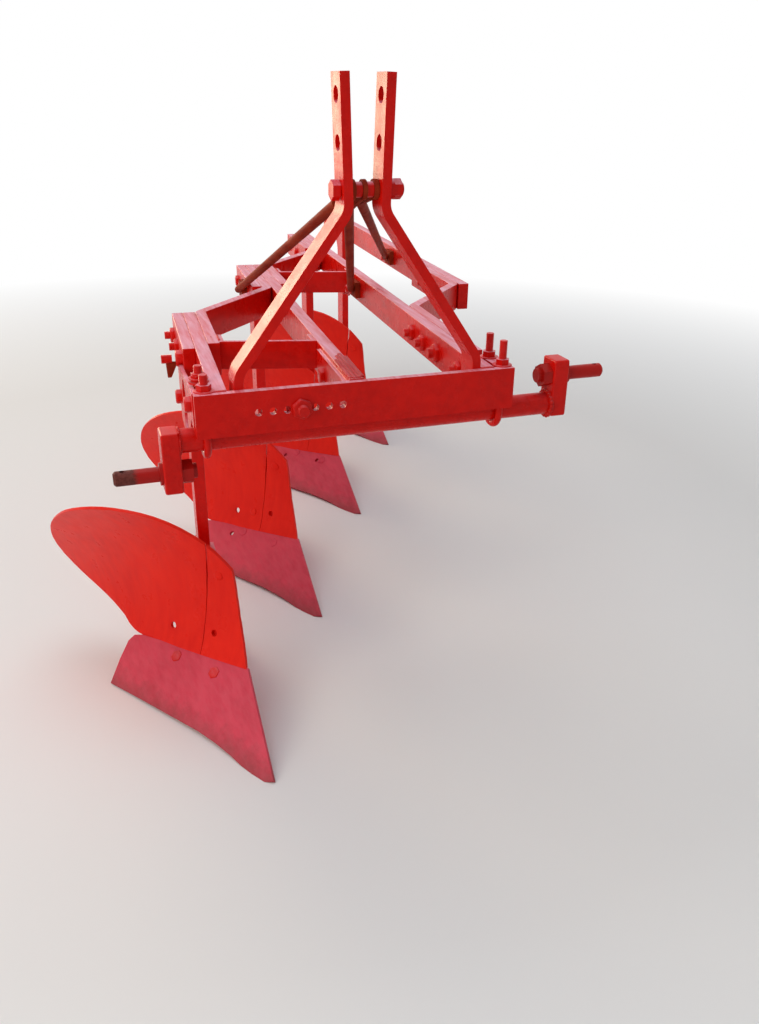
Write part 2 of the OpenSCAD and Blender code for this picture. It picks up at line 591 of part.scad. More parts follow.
// Frog behind the share and the moldboard, with its cheek on the leg and the landside bar
module frog(i) color(paint) placed() at_body(i) {
    cheek_u = half_t - tip_side;
    back = mold_t + frog_gap;
    landside_end = tip_ahead + landside_tail;
    // Front edge of the shin piece: height, distance along the share
    shin_front = [for (e = shin_edge) [e[2], e[1]]];
    edge_margin = 14;
    frog_end = 424;
    on_share() translate([-430, 95, -share_t - seat_gap - frog_t]) cube([220, 48, frog_t]);
    difference() {
        shell([for (r = [0:8]) let (z = 135 + 24 * r, q = lookup(z, shin_front) + edge_margin)
            [for (c = [0:4]) [q + (frog_end - q) * c / 4, z]]], back, back + frog_t);
        translate([-tip_side - half_t - seat_gap, tip_ahead - seat_gap, 0])
            cube([bar_t + 2 * seat_gap, leg_depth, mold_upright * 2]);
    }
    upright(cheek_u, cheek_t) polygon(concat(
        [for (z = [40:20:100]) [share_back_v(cheek_u, z, share_t + seat_gap + frog_t / 2), z]],
        [for (z = [140:30:320]) [mold_v(cheek_u, z) + (back + frog_t / 2) / sin(share_angle) / 0.9, z]],
        [[tip_ahead + leg_depth, 320], [tip_ahead + leg_depth, 40]]));
    translate([cheek_u + 1, tip_ahead - 90, 40]) cube([-cheek_u - landside_t, 120, 30]);
    upright(-landside_t, landside_t) polygon([[share_back_v(-landside_t, 0, share_t + seat_gap), 0],
        [share_back_v(-landside_t, landside_h, share_t + seat_gap), landside_h],
        [landside_end, landside_h], [landside_end, 0]]);
}
module frog_1() frog(0);
module frog_2() frog(1);
module frog_3() frog(2);
module frog_4() frog(3);

crossbar();
side_plate();
clamp_seats();
u_bolts();
cross_shaft();
crank_arm_left();
crank_arm_right();
link_pin_left();
link_pin_right();
mast_left();
mast_right();
mast_bolt();
brace_left();
brace_middle();
brace_right();
beam_1();
beam_2();
beam_3();
beam_4();
link_bar_1();
link_bar_2();
link_bar_3();
spacer_1();
spacer_2();
leg_1();
leg_2();
leg_3();
leg_4();
frog_1();
frog_2();
frog_3();
frog_4();
share_1();
share_2();
share_3();
share_4();
moldboard_1();
moldboard_2();
moldboard_3();
moldboard_4();
shin_1();
shin_2();
shin_3();
shin_4();
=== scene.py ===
import json
import math

import bpy
from mathutils import Matrix, Vector

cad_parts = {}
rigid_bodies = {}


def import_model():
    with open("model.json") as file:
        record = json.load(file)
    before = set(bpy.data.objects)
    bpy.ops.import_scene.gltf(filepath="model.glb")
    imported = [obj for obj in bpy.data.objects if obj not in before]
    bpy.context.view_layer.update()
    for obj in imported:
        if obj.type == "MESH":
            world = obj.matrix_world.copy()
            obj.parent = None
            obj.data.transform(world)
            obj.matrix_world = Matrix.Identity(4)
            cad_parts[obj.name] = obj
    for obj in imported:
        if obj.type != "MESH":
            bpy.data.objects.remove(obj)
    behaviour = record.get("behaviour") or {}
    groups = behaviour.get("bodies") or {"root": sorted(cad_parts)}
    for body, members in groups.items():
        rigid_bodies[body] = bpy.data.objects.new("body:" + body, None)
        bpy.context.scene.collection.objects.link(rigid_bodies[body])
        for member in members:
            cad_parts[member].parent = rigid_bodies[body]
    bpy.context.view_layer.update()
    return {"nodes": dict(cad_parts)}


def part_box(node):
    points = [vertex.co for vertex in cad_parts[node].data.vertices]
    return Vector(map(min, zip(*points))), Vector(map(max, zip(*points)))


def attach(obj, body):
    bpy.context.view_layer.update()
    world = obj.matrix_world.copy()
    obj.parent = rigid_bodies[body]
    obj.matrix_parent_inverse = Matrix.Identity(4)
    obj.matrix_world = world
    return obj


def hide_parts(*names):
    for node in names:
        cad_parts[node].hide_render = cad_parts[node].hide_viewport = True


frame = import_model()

cad = frame["nodes"]

# Places are in millimetres, from the crossbar's front face and the middle between the link pins.
# u runs across the skewed beams and v along them, to the rear.
CROSSBAR_LEFT = -347
bar_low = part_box("crossbar")[0]
MID_X = CROSSBAR_LEFT / 1000 - bar_low[0]
MID_Y = -bar_low[1]
SKEW = math.radians(3.6)
FRAME_TOP = 807
BEAM_U = [x * math.cos(SKEW) for x in (-302, -48, 216, 461)]
HALF_BEAM = 14.5
LEG_U = (-328.4, -99.9, 163.6, 433.1)
LEG_V = (297, 895, 1493, 2091)
TIP_SIDE = 62
TIP_AHEAD = 399.7
SHAFT_Y = 55
SHAFT_Z = 709
CRANK = ("cross_shaft", "crank_arm_left", "crank_arm_right", "link_pin_left", "link_pin_right")


def place(x, y, z):
    return Vector((x / 1000 - MID_X, y / 1000 - MID_Y, z / 1000))


def along(u, v, z):
    """A place measured across and along the skewed beams."""
    x = u * math.cos(SKEW) + v * math.sin(SKEW)
    y = -u * math.sin(SKEW) + v * math.cos(SKEW)
    return place(x, y, z)


def on_body(number, x, y, z):
    """A place measured from a plough body's share point."""
    return along(LEG_U[number] + TIP_SIDE + x, LEG_V[number] - TIP_AHEAD + y, z)


LEFT = Vector((-math.cos(SKEW), math.sin(SKEW), 0))
RIGHT = -LEFT
FRONT = Vector((0, -1, 0))
UP = Vector((0, 0, 1))

# Camera at the photograph's viewing angle, with its focal length in pixels of the picture's width.
EYE = place(-534.86, -1489.41, 1287.6)
PITCH, YAW, ROLL = math.radians(25.34), math.radians(19.56), math.radians(-0.8)
PICTURE_WIDTH = 759
FOCAL_PIXELS = 892.03
SENSOR = 36


def look():
    ahead = Vector((math.sin(YAW) * math.cos(PITCH), math.cos(YAW) * math.cos(PITCH), -math.sin(PITCH)))
    level = Vector((math.cos(YAW), -math.sin(YAW), 0))
    down = ahead.cross(level)
    right = level * math.cos(ROLL) + down * math.sin(ROLL)
    below = down * math.cos(ROLL) - level * math.sin(ROLL)
    bpy.ops.object.camera_add()
    camera = bpy.context.object
    turn = Matrix((right, -below, -ahead)).transposed().to_4x4()
    camera.matrix_world = Matrix.Translation(EYE) @ turn
    camera.data.sensor_fit = "HORIZONTAL"
    camera.data.sensor_width = SENSOR
    camera.data.lens = FOCAL_PIXELS / PICTURE_WIDTH * SENSOR
    camera.data.clip_end = 200
    bpy.context.scene.camera = camera


look()


# Finishes
class Finish:
    """A material's node tree, built a node at a time."""

    def __init__(self, name):
        self.material = bpy.data.materials.new(name)
        self.material.use_nodes = True
        self.nodes = self.material.node_tree.nodes
        self.links = self.material.node_tree.links
        self.shader = self.nodes["Principled BSDF"]
        self.where = self.nodes.new("ShaderNodeTexCoord")

    def link(self, source, target):
        self.links.new(source, target)

    def noise(self, scale, detail=3.0, rough=0.5, stretch=None):
        texture = self.nodes.new("ShaderNodeTexNoise")
        texture.inputs["Scale"].default_value = scale
        texture.inputs["Detail"].default_value = detail
        texture.inputs["Roughness"].default_value = rough
        if stretch:
            mapping = self.nodes.new("ShaderNodeMapping")
            mapping.inputs["Scale"].default_value = stretch
            self.link(self.where.outputs["Object"], mapping.inputs["Vector"])
            self.link(mapping.outputs["Vector"], texture.inputs["Vector"])
        else:
            self.link(self.where.outputs["Object"], texture.inputs["Vector"])
        return texture.outputs["Fac"]

    def ramp(self, source, low, high, out_low=0.0, out_high=1.0):
        node = self.nodes.new("ShaderNodeMapRange")
        node.inputs["From Min"].default_value = low
        node.inputs["From Max"].default_value = high
        node.inputs["To Min"].default_value = out_low
        node.inputs["To Max"].default_value = out_high
        self.link(source, node.inputs["Value"])
        return node.outputs["Result"]

    def mix(self, factor, first, second):
        node = self.nodes.new("ShaderNodeMix")
        node.data_type = "RGBA"
        self.link(factor, node.inputs[0])
        for value, socket in ((first, node.inputs[6]), (second, node.inputs[7])):
            if isinstance(value, tuple):
                socket.default_value = (*value, 1)
            else:
                self.link(value, socket)
        return node.outputs[2]

    def combine(self, operation, first, second):
        node = self.nodes.new("ShaderNodeMath")
        node.operation = operation
        self.link(first, node.inputs[0])
        if isinstance(second, float):
            node.inputs[1].default_value = second
        else:
            self.link(second, node.inputs[1])
        return node.outputs[0]

    def times(self, first, second):
        return self.combine("MULTIPLY", first, second)

    def part_of(self, vector, axis):
        split = self.nodes.new("ShaderNodeSeparateXYZ")
        self.link(self.where.outputs[vector], split.inputs[0])
        return split.outputs[axis]

    def facing_up(self):
        return self.ramp(self.part_of("Normal", "Z"), 0.55, 0.95)

    def bump(self, height, strength, distance, below=None):
        node = self.nodes.new("ShaderNodeBump")
        node.inputs["Strength"].default_value = strength
        node.inputs["Distance"].default_value = distance
        self.link(height, node.inputs["Height"])
        if below is not None:
            self.link(below, node.inputs["Normal"])
        return node.outputs["Normal"]

    def set(self, socket, value):
        self.shader.inputs[socket].default_value = value

    def feed(self, socket, source):
        self.link(source, self.shader.inputs[socket])


THIN_PAINT = (0.11, 0.022, 0.015)
SCUFFED = (0.16, 0.040, 0.035)


def enamel(name, colour, deep, light, sheen_and_dust, sheen_and_dust_amount, gloss, shine, stroke=(1, 0.12, 1), scuff=0.0):
    """Hand-brushed paint: cloudy tone, strokes, thin places, a dusty film and a painted sky reflection on
    what faces up, scuffs low down.
    """
    finish = Finish(name)
    tone = finish.ramp(finish.noise(5, 4, 0.6), 0.3, 0.7)
    strokes = finish.ramp(finish.noise(60, 2, 0.5, stretch=stroke), 0.35, 0.65)
    paint = finish.mix(tone, colour, deep)
    paint = finish.mix(finish.times(strokes, 0.4), paint, light)
    thin = finish.ramp(finish.noise(38, 8, 0.78), 0.66, 0.72)
    paint = finish.mix(finish.times(thin, 0.55), paint, THIN_PAINT)
    if scuff:
        height = finish.part_of("Object", "Z")
        ragged = finish.times(finish.noise(30, 5, 0.7), 0.05)
        low = finish.ramp(finish.combine("ADD", height, ragged), 0.060, 0.030)
        paint = finish.mix(finish.times(low, scuff), paint, SCUFFED)
    # Painted sky reflection: faces that face up are mixed in streaks towards a paler colour, which paints
    # the sheen of the sky on the tops along with a dusty film.
    streaks = finish.ramp(finish.noise(95, 5, 0.7, stretch=(1, 0.07, 1)), 0.26, 0.66)
    sheen_and_dust_mask = finish.times(finish.facing_up(), streaks)
    finish.feed("Base Color", finish.mix(finish.times(sheen_and_dust_mask, sheen_and_dust_amount), paint, sheen_and_dust))
    rough = finish.ramp(finish.noise(25, 4, 0.6), 0.3, 0.7, gloss, gloss + 0.14)
    finish.feed("Roughness", finish.combine("ADD", rough, finish.times(sheen_and_dust_mask, 0.12)))
    grain = finish.noise(700, 2, 0.5)
    waves = finish.noise(45, 3, 0.5, stretch=stroke)
    pits = finish.noise(150, 5, 0.65)
    normal = finish.bump(grain, 0.10, 0.0004)
    normal = finish.bump(pits, 0.16, 0.0010, normal)
    finish.feed("Normal", finish.bump(waves, 0.25, 0.002, normal))
    finish.set("Specular IOR Level", shine)
    return finish.material


FRAME_REDS = {"colour": (0.66, 0.0055, 0.0025), "deep": (0.50, 0.004, 0.002), "light": (0.76, 0.009, 0.004)}
# The frame's pale pink on up-facing faces is mostly a painted sky reflection, with a little dusty film.
frame_enamel = enamel(
    "red_frame_enamel", **FRAME_REDS,
    sheen_and_dust=(0.90, 0.50, 0.64), sheen_and_dust_amount=0.78, gloss=0.22, shine=0.13)
board_enamel = enamel(
    "orange_red_board_enamel",
    colour=(0.80, 0.014, 0.005), deep=(0.68, 0.008, 0.003), light=(0.86, 0.022, 0.007),
    sheen_and_dust=(0.72, 0.24, 0.18), sheen_and_dust_amount=0.12, gloss=0.25, shine=0.12, stroke=(1, 1, 0.15))
share_enamel = enamel(
    "crimson_share_paint",
    colour=(0.65, 0.050, 0.088), deep=(0.53, 0.035, 0.064), light=(0.76, 0.078, 0.126),
    sheen_and_dust=(0.60, 0.19, 0.22), sheen_and_dust_amount=0.30, gloss=0.44, shine=0.16, scuff=0.55)
bolt_enamel = enamel(
    "red_bolt_enamel",
    colour=(0.66, 0.007, 0.0035), deep=(0.48, 0.004, 0.002), light=(0.78, 0.011, 0.005),
    sheen_and_dust=(0.80, 0.36, 0.44), sheen_and_dust_amount=0.30, gloss=0.22, shine=0.16)
weld_enamel = enamel(
    "red_weld_enamel",
    colour=(0.60, 0.006, 0.003), deep=(0.44, 0.004, 0.002), light=(0.70, 0.010, 0.005),
    sheen_and_dust=(0.76, 0.34, 0.42), sheen_and_dust_amount=0.30, gloss=0.24, shine=0.16)
crank_enamel = enamel(
    "red_crank_enamel", **FRAME_REDS,
    sheen_and_dust=(0.80, 0.20, 0.24), sheen_and_dust_amount=0.14, gloss=0.20, shine=0.14)
rod_enamel = enamel(
    "brown_red_rod_enamel",
    colour=(0.27, 0.026, 0.010), deep=(0.16, 0.014, 0.007), light=(0.38, 0.052, 0.018),
    sheen_and_dust=(0.42, 0.14, 0.10), sheen_and_dust_amount=0.10, gloss=0.50, shine=0.02)


def pin_finish(name, painted_to, worn_from):
    """Dark red paint, rubbed down to brown steel from one place along X to another."""
    finish = Finish(name)
    reach = finish.ramp(finish.part_of("Object", "X"), place(painted_to, 0, 0).x, place(worn_from, 0, 0).x)
    patch = finish.noise(55, 6, 0.72)
    bare = finish.ramp(finish.combine("ADD", patch, reach), 0.80, 1.20)
    stained = finish.ramp(finish.noise(160, 4, 0.7), 0.4, 0.6)
    steel = finish.mix(stained, (0.085, 0.016, 0.012), (0.15, 0.034, 0.026))
    clouded = finish.ramp(finish.noise(12, 4, 0.6), 0.35, 0.65)
    red = finish.mix(clouded, (0.46, 0.008, 0.005), (0.34, 0.006, 0.004))
    finish.feed("Base Color", finish.mix(bare, red, steel))
    finish.feed("Roughness", finish.ramp(bare, 0, 1, 0.34, 0.55))
    finish.feed("Normal", finish.bump(finish.noise(420, 4, 0.6), 0.3, 0.0008))
    finish.set("Specular IOR Level", 0.16)
    return finish.material


left_pin_paint = pin_finish("worn_pin_paint", -440, -470)
right_pin_paint = pin_finish("dull_pin_paint", 470, 640)


def finish_for(name):
    if name.startswith("share"):
        return share_enamel, "share_paint"
    if name.startswith(("moldboard", "shin")):
        return board_enamel, "moldboard_paint"
    if name == "link_pin_left":
        return left_pin_paint, "frame_paint"
    if name == "link_pin_right":
        return right_pin_paint, "frame_paint"
    if name.startswith("brace"):
        return rod_enamel, "frame_paint"
    if name in CRANK:
        return crank_enamel, "frame_paint"
    return frame_enamel, "frame_paint"


for name, piece in cad.items():
    piece.data.materials.clear()
    piece.data.materials.append(finish_for(name)[0])


# Shaping helpers
def alone(piece):
    bpy.ops.object.select_all(action="DESELECT")
    piece.select_set(True)
    bpy.context.view_layer.objects.active = piece


def pick_faces(piece, test, least=0.0):
    """Selects, in edit mode, the faces over a least area whose middle and normal pass the test."""
    bpy.ops.object.mode_set(mode="EDIT")
    bpy.ops.mesh.select_mode(type="FACE")
    bpy.ops.mesh.select_all(action="DESELECT")
    bpy.ops.object.mode_set(mode="OBJECT")
    for face in piece.data.polygons:
        face.select = face.area > least and bool(test(face.center, face.normal))
    bpy.ops.object.mode_set(mode="EDIT")


def done_shaping():
    bpy.ops.object.mode_set(mode="OBJECT")


def soften(piece, width, segments=2, angle=35.0, smooth=38.0):
    alone(piece)
    bpy.ops.object.modifier_add(type="BEVEL")
    bevel = piece.modifiers[-1]
    bevel.width = width
    bevel.segments = segments
    bevel.limit_method = "ANGLE"
    bevel.angle_limit = math.radians(angle)
    bpy.ops.object.modifier_apply(modifier=bevel.name)
    bpy.ops.object.shade_smooth_by_angle(angle=math.radians(smooth))


def round_long_edges(piece, width, segments, least=0.03):
    """Rounds the outer edges of a forged block, and leaves the rims of its holes alone."""
    alone(piece)
    pick_faces(piece, lambda c, n: False)
    bpy.ops.mesh.select_mode(type="EDGE")
    done_shaping()
    for edge in piece.data.edges:
        start, end = (piece.data.vertices[index].co for index in edge.vertices)
        edge.select = (start - end).length > least
    bpy.ops.object.mode_set(mode="EDIT")
    bpy.ops.mesh.bevel(offset=width, segments=segments, affect="EDGES", clamp_overlap=False)
    done_shaping()


def flatten_shading(piece):
    """Keeps the wide flat faces evenly shaded beside their rounded edges."""
    alone(piece)
    bpy.ops.object.modifier_add(type="WEIGHTED_NORMAL")
    even = piece.modifiers[-1]
    even.keep_sharp = True
    even.weight = 100
    bpy.ops.object.modifier_apply(modifier=even.name)


OPEN_HOLE_R = 0.0068


def open_hole(piece, at, facing):
    """A bolt hole left open, cut through the piece."""
    bpy.ops.object.select_all(action="DESELECT")
    bpy.ops.mesh.primitive_cylinder_add(vertices=28, radius=OPEN_HOLE_R, depth=0.06, location=at)
    drill = bpy.context.object
    drill.rotation_mode = "QUATERNION"
    drill.rotation_quaternion = facing.to_track_quat("Z", "Y")
    alone(piece)
    bpy.ops.object.modifier_add(type="BOOLEAN")
    cut = piece.modifiers[-1]
    cut.operation = "DIFFERENCE"
    cut.solver = "EXACT"
    cut.object = drill
    bpy.ops.object.modifier_apply(modifier=cut.name)
    bpy.data.objects.remove(drill)


def repeated(piece, count, step):
    """Lines up copies of the piece along a step, joined into it."""
    alone(piece)
    bpy.ops.object.modifier_add(type="ARRAY")
    row = piece.modifiers[-1]
    row.count = count
    row.use_relative_offset = False
    row.use_constant_offset = True
    row.constant_offset_displace = step
    bpy.ops.object.modifier_apply(modifier=row.name)


def joined(*parts):
    bpy.ops.object.select_all(action="DESELECT")
    for part in parts:
        part.select_set(True)
    bpy.context.view_layer.objects.active = parts[0]
    bpy.ops.object.join()
    return parts[0]


def own(piece, name, finish):
    piece.name = name
    piece.data.name = name
    piece.data.materials.clear()
    piece.data.materials.append(finish)
    return piece


def settle(piece, at, turn, size, body):
    """Puts a piece in its place, keeps the place in its mesh, and lets it ride on its body."""
    piece.matrix_world = Matrix.Translation(at) @ turn.to_4x4() @ Matrix.Diagonal((*size, 1))
    alone(piece)
    bpy.ops.object.transform_apply(location=True, rotation=True, scale=True)
    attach(piece, body)


def fitted(pattern, name, at, aim, spin=0.0, size=1.0, tall=1.0, finish=bolt_enamel):
    """A copy of a pattern that stands at a place with its +Z along aim."""
    alone(pattern)
    bpy.ops.object.duplicate()
    piece = own(bpy.context.object, name, finish)
    turn = aim.to_track_quat("Z", "Y").to_matrix() @ Matrix.Rotation(math.radians(spin), 3, "Z")
    settle(piece, at, turn, (size, size, size * tall), "frame")


def seat(node, guess):
    """The nearest place on a node's side towards the viewer, and the way it faces."""
    towards = (EYE - guess).normalized()
    _, at, facing, _ = cad[node].closest_point_on_mesh(guess + towards * 0.005)
    return at, facing


# Fasteners in metres, modelled once at 24 mm across flats and copied
WASHER_R = 0.0185
WASHER_T = 0.003
HEX_R = 0.0139
HEX_MIDDLE = 0.009
HEAD_H = 0.014
NUT_H = 0.012
STUD_R = 0.0066
STUD_FROM = 0.013
STUD_PAST = 0.012
THREAD_DEPTH = 0.0008
LOW_HEAD_R = 0.011
LOW_HEAD_T = 0.003


def washer_ring():
    bpy.ops.mesh.primitive_cylinder_add(
        vertices=32, radius=WASHER_R, depth=WASHER_T, location=(0, 0, WASHER_T / 2))
    washer = bpy.context.object
    soften(washer, 0.0007)
    return washer


def hex_block(height, inset, rise, edge):
    """A six-sided block with a chamfered top."""
    bpy.ops.mesh.primitive_cylinder_add(vertices=6, radius=HEX_R, depth=height, location=(0, 0, HEX_MIDDLE))
    piece = bpy.context.object
    pick_faces(piece, lambda c, n: n.z > 0.9)
    bpy.ops.mesh.inset(thickness=inset, depth=rise)
    done_shaping()
    soften(piece, edge)
    return piece


def hex_head_pattern():
    return joined(hex_block(HEAD_H, 0.0022, 0.0012, 0.0011), washer_ring())


def nut_pattern():
    nut = hex_block(NUT_H, 0.0020, 0.0008, 0.0010)
    thread = threaded_rod(STUD_R, STUD_PAST)
    alone(thread)
    thread.location = (0, 0, STUD_FROM)
    bpy.ops.object.transform_apply(location=True, rotation=True, scale=True)
    return joined(nut, washer_ring(), thread)


def threaded_rod(radius, length, pitch=0.002):
    """A rod of ridges, standing on its end."""
    crest = 1 + THREAD_DEPTH / radius
    bpy.ops.mesh.primitive_cylinder_add(
        vertices=20, radius=radius, depth=pitch / 2, location=(0, 0, pitch / 4))
    piece = bpy.context.object
    pick_faces(piece, lambda c, n: n.z > 0.9)
    bpy.ops.transform.resize(value=(crest, crest, 1))
    bpy.ops.mesh.extrude_region_move(TRANSFORM_OT_translate={"value": (0, 0, pitch / 2)})
    bpy.ops.transform.resize(value=(1 / crest, 1 / crest, 1))
    done_shaping()
    repeated(piece, round(length / pitch), (0, 0, pitch))
    bpy.ops.object.shade_smooth_by_angle(angle=math.radians(25))
    return piece


def ripple_pattern():
    """One ripple of a weld, 10 mm across."""
    bpy.ops.mesh.primitive_uv_sphere_add(segments=10, ring_count=6, radius=0.005)
    piece = bpy.context.object
    pick_faces(piece, lambda c, n: True)
    bpy.ops.transform.resize(value=(0.72, 1, 0.62))
    done_shaping()
    bpy.ops.object.shade_smooth()
    return piece


def low_head_pattern():
    """The shallow domed head of a countersunk bolt, 22 mm across."""
    bpy.ops.object.select_all(action="DESELECT")
    bpy.ops.mesh.primitive_cylinder_add(vertices=28, radius=LOW_HEAD_R, depth=LOW_HEAD_T, location=(0, 0, 0))
    piece = bpy.context.object
    pick_faces(piece, lambda c, n: n.z > 0.9)
    for thickness, depth in ((0.0018, 0.0005), (0.0030, 0.0004)):
        bpy.ops.mesh.inset(thickness=thickness, depth=depth)
    done_shaping()
    soften(piece, 0.0003, 1)
    return piece


hex_head = hex_head_pattern()
low_head = low_head_pattern()
nut_on_stud = nut_pattern()
ripple = ripple_pattern()

# Distance from one ripple of a bead to the next, at full width
RIPPLE_STEP = 0.0042


def weld(name, start, end, outward, width=1.0):
    """A straight bead of ripples from start to end."""
    alone(ripple)
    bpy.ops.object.duplicate()
    piece = own(bpy.context.object, name, weld_enamel)
    reach = end - start
    repeated(piece, max(2, round(reach.length / (RIPPLE_STEP * width))), (RIPPLE_STEP, 0, 0))
    side = outward.cross(reach).normalized()
    turn = Matrix((reach.normalized(), side, reach.normalized().cross(side))).transposed()
    settle(piece, start, turn, (width, width, width), "frame")


def ring_weld(name, at, aim, radius, width):
    """A bead of ripples round the cross shaft."""
    alone(ripple)
    bpy.ops.object.duplicate()
    piece = own(bpy.context.object, name, weld_enamel)
    count = round(2 * math.pi * radius / (RIPPLE_STEP * width))
    pick_faces(piece, lambda c, n: True)
    bpy.ops.transform.rotate(value=math.pi / 2, orient_axis="Z", center_override=(0, 0, 0))
    bpy.ops.transform.resize(value=(width, width, width), center_override=(0, 0, 0))
    bpy.ops.transform.translate(value=(radius, 0, 0))
    arc = 2 * math.pi * (count - 1) / count
    bpy.ops.mesh.spin(steps=count - 1, angle=arc, center=(0, 0, 0), axis=(0, 0, 1), dupli=True)
    done_shaping()
    settle(piece, at, aim.to_track_quat("Z", "Y").to_matrix(), (1, 1, 1), "crank")


def screwed(name, at, aim, radius, length):
    piece = own(threaded_rod(radius, length), name, bolt_enamel)
    settle(piece, at, aim.to_track_quat("Z", "Y").to_matrix(), (1, 1, 1), "frame")


# Stage, light and world
def pale_floor():
    """Pale all over, and plain white in the distance, where it meets the background."""
    bpy.ops.mesh.primitive_plane_add(size=90, location=(0, 20, 0))
    floor = bpy.context.object
    floor.name = "pale_floor"
    finish = Finish("pale_floor")
    finish.set("Base Color", (0.80, 0.80, 0.80, 1))
    finish.set("Roughness", 0.9)
    finish.set("Specular IOR Level", 0.1)
    spot = finish.nodes.new("ShaderNodeNewGeometry")
    length = finish.nodes.new("ShaderNodeVectorMath")
    length.operation = "LENGTH"
    finish.link(spot.outputs["Position"], length.inputs[0])
    far = finish.ramp(length.outputs["Value"], 1.7, 4.4)
    path = finish.nodes.new("ShaderNodeLightPath")
    seen = finish.combine("MAXIMUM", path.outputs["Is Camera Ray"], path.outputs["Is Glossy Ray"])
    seen = finish.combine("MAXIMUM", seen, path.outputs["Is Transmission Ray"])
    white = finish.nodes.new("ShaderNodeEmission")
    blend = finish.nodes.new("ShaderNodeMixShader")
    finish.link(finish.times(far, seen), blend.inputs[0])
    finish.link(finish.shader.outputs[0], blend.inputs[1])
    finish.link(white.outputs[0], blend.inputs[2])
    finish.link(blend.outputs[0], finish.nodes["Material Output"].inputs["Surface"])
    floor.data.materials.append(finish.material)


def lamp(name, at, aim, size, power, tint, seen=True, spread=180):
    bpy.ops.object.light_add(type="AREA", location=at)
    light = bpy.context.object
    light.name = name
    light.data.size = size
    light.data.energy = power
    light.data.color = tint
    light.data.spread = math.radians(spread)
    light.visible_camera = seen
    light.rotation_mode = "QUATERNION"
    light.rotation_quaternion = (Vector(aim) - Vector(at)).to_track_quat("-Z", "Y")


def soft_world():
    """Soft fill on the plough, and plain white where the background is seen."""
    world = bpy.data.worlds.new("studio")
    bpy.context.scene.world = world
    world.use_nodes = True
    nodes, links = world.node_tree.nodes, world.node_tree.links
    fill = nodes["Background"]
    fill.inputs["Color"].default_value = (0.95, 0.97, 1.0, 1)
    fill.inputs["Strength"].default_value = 0.40
    seen = nodes.new("ShaderNodeBackground")
    seen.inputs["Color"].default_value = (1, 1, 1, 1)
    seen.inputs["Strength"].default_value = 1.0
    path = nodes.new("ShaderNodeLightPath")
    socket = path.outputs["Is Camera Ray"]
    for other in ("Is Glossy Ray", "Is Transmission Ray"):
        either = nodes.new("ShaderNodeMath")
        either.operation = "MAXIMUM"
        links.new(socket, either.inputs[0])
        links.new(path.outputs[other], either.inputs[1])
        socket = either.outputs[0]
    blend = nodes.new("ShaderNodeMixShader")
    links.new(socket, blend.inputs[0])
    links.new(fill.outputs[0], blend.inputs[1])
    links.new(seen.outputs[0], blend.inputs[2])
    links.new(blend.outputs[0], nodes["World Output"].inputs["Surface"])
    bpy.context.scene.view_settings.view_transform = "Standard"


pale_floor()
lamp("sky_panel", (-0.6, 0.2, 5.2), (0, 0, 0.4), 4.5, 105, (0.93, 0.97, 1.0))
lamp("left_panel", (-3.8, -2.8, 2.2), (0, -0.3, 0.6), 2.4, 74, (1.0, 0.90, 0.78))
lamp("rear_left_panel", (-2.2, 5.4, 1.9), (0, 0, 0.9), 2.8, 32, (1.0, 0.76, 0.50), seen=False, spread=70)
soft_world()

# Left faces of what the bolts hold
BEAM_3_FACE = BEAM_U[2] - HALF_BEAM
LEG_1_FACE = -340.9
LEG_2_FACE = -112.4
LEG_3_FACE = 151.1
LEG_4_FACE = 420.6
BAR_3_FACE = 420.6
SIDE_PLATE_FACE = -348.9
DOUBLER_T = 8
SPACER_T = 10

# Bolts of the frame: name, u, v, height, turn of the flats, what shows, width and height against the pattern
FRAME_BOLTS = [
    ("beam_3_bolt_1", BEAM_3_FACE, 152, 768, 10, "nut", 1.35, 1),
    ("beam_3_bolt_2", BEAM_3_FACE, 288, 768, 0, "nut", 1.55, 0.9),
    ("beam_3_bolt_3", BEAM_3_FACE, 382, 767, 20, "nut", 1.35, 1),
    ("beam_3_bolt_4", BEAM_3_FACE, 466, 770, 5, "nut", 1.35, 1),
    ("leg_1_bolt_rear", LEG_1_FACE, 590, 764, 12, "nut", 1.25, 1.15),
    ("leg_1_bolt_front", LEG_1_FACE, 462, 770, 4, "nut", 1.2, 1.05),
    ("leg_2_bolt_front", LEG_2_FACE, 1110, 768, 15, "head", 1.1, 1),
    ("leg_2_bolt_rear", LEG_2_FACE, 1190, 768, 2, "head", 1.1, 1),
    ("leg_3_bolt_front", LEG_3_FACE, 1651, 768, 8, "head", 1.1, 1),
    ("leg_3_bolt_rear", LEG_3_FACE, 1786, 768, 22, "head", 1.1, 1),
    ("leg_4_bolt_front", LEG_4_FACE, 2249, 768, 0, "head", 1.1, 1),
    ("leg_4_bolt_rear", LEG_4_FACE, 2384, 768, 14, "head", 1.1, 1),
    ("bar_3_bolt_front", BAR_3_FACE, 900, 768, 6, "head", 1.1, 1),
    ("bar_3_bolt_rear", BAR_3_FACE, 1080, 768, 18, "head", 1.1, 1),
    ("doubler_bolt", BEAM_U[1] - HALF_BEAM - DOUBLER_T, 202, 760, 9, "head", 1.2, 1),
    ("spacer_2_bolt", BEAM_3_FACE - SPACER_T, 1085, 751, 3, "head", 1.1, 1),
]
